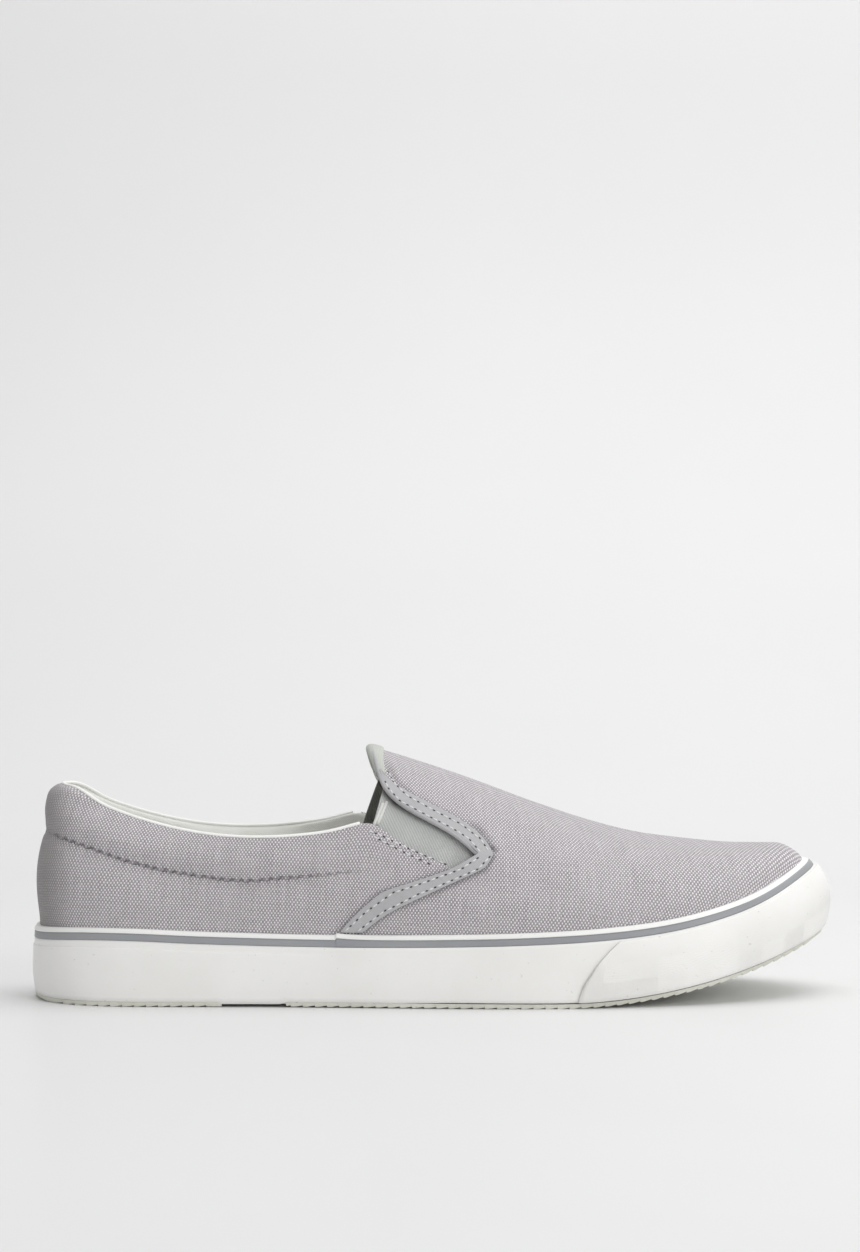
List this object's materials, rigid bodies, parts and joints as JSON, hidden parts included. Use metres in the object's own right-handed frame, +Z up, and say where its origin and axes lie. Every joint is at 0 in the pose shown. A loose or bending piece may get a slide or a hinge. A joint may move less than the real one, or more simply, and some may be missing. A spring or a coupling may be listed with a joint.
{
  "type": "skate shoe",
  "caption": "Right slip-on skate shoe: hollow canvas upper with a padded collar and elastic gores on a wrapped rubber sole with a grey stripe and a textured toe bumper.",
  "frame": {"origin": "on the floor plane under the middle of the shoe's bounding box", "axes": "+X from heel to toe, +Y to the medial side, +Z up"},
  "size_m": [0.292, 0.1044, 0.0908],
  "materials": {
    "tread_rubber": "matte off-white rubber",
    "foxing_rubber": "satin off-white rubber",
    "stripe_rubber": "satin grey rubber",
    "insole_cloth": "cream cloth over foam",
    "canvas": "lilac grey canvas",
    "binding": "pale grey tape",
    "tape": "smooth grey tape",
    "elastic": "grey ribbed elastic"
  },
  "bodies": {
    "root": {"outsole": "tread_rubber", "foxing": "foxing_rubber", "foxing_stripe": "stripe_rubber", "foxing_top_strip": "foxing_rubber", "toe_bumper": "foxing_rubber", "insole": "insole_cloth", "upper": "canvas", "tongue_binding": "binding", "throat_tape_lateral": "tape", "gore_lateral": "elastic", "throat_tape_medial": "tape", "gore_medial": "elastic"}
  },
  "joints": []
}
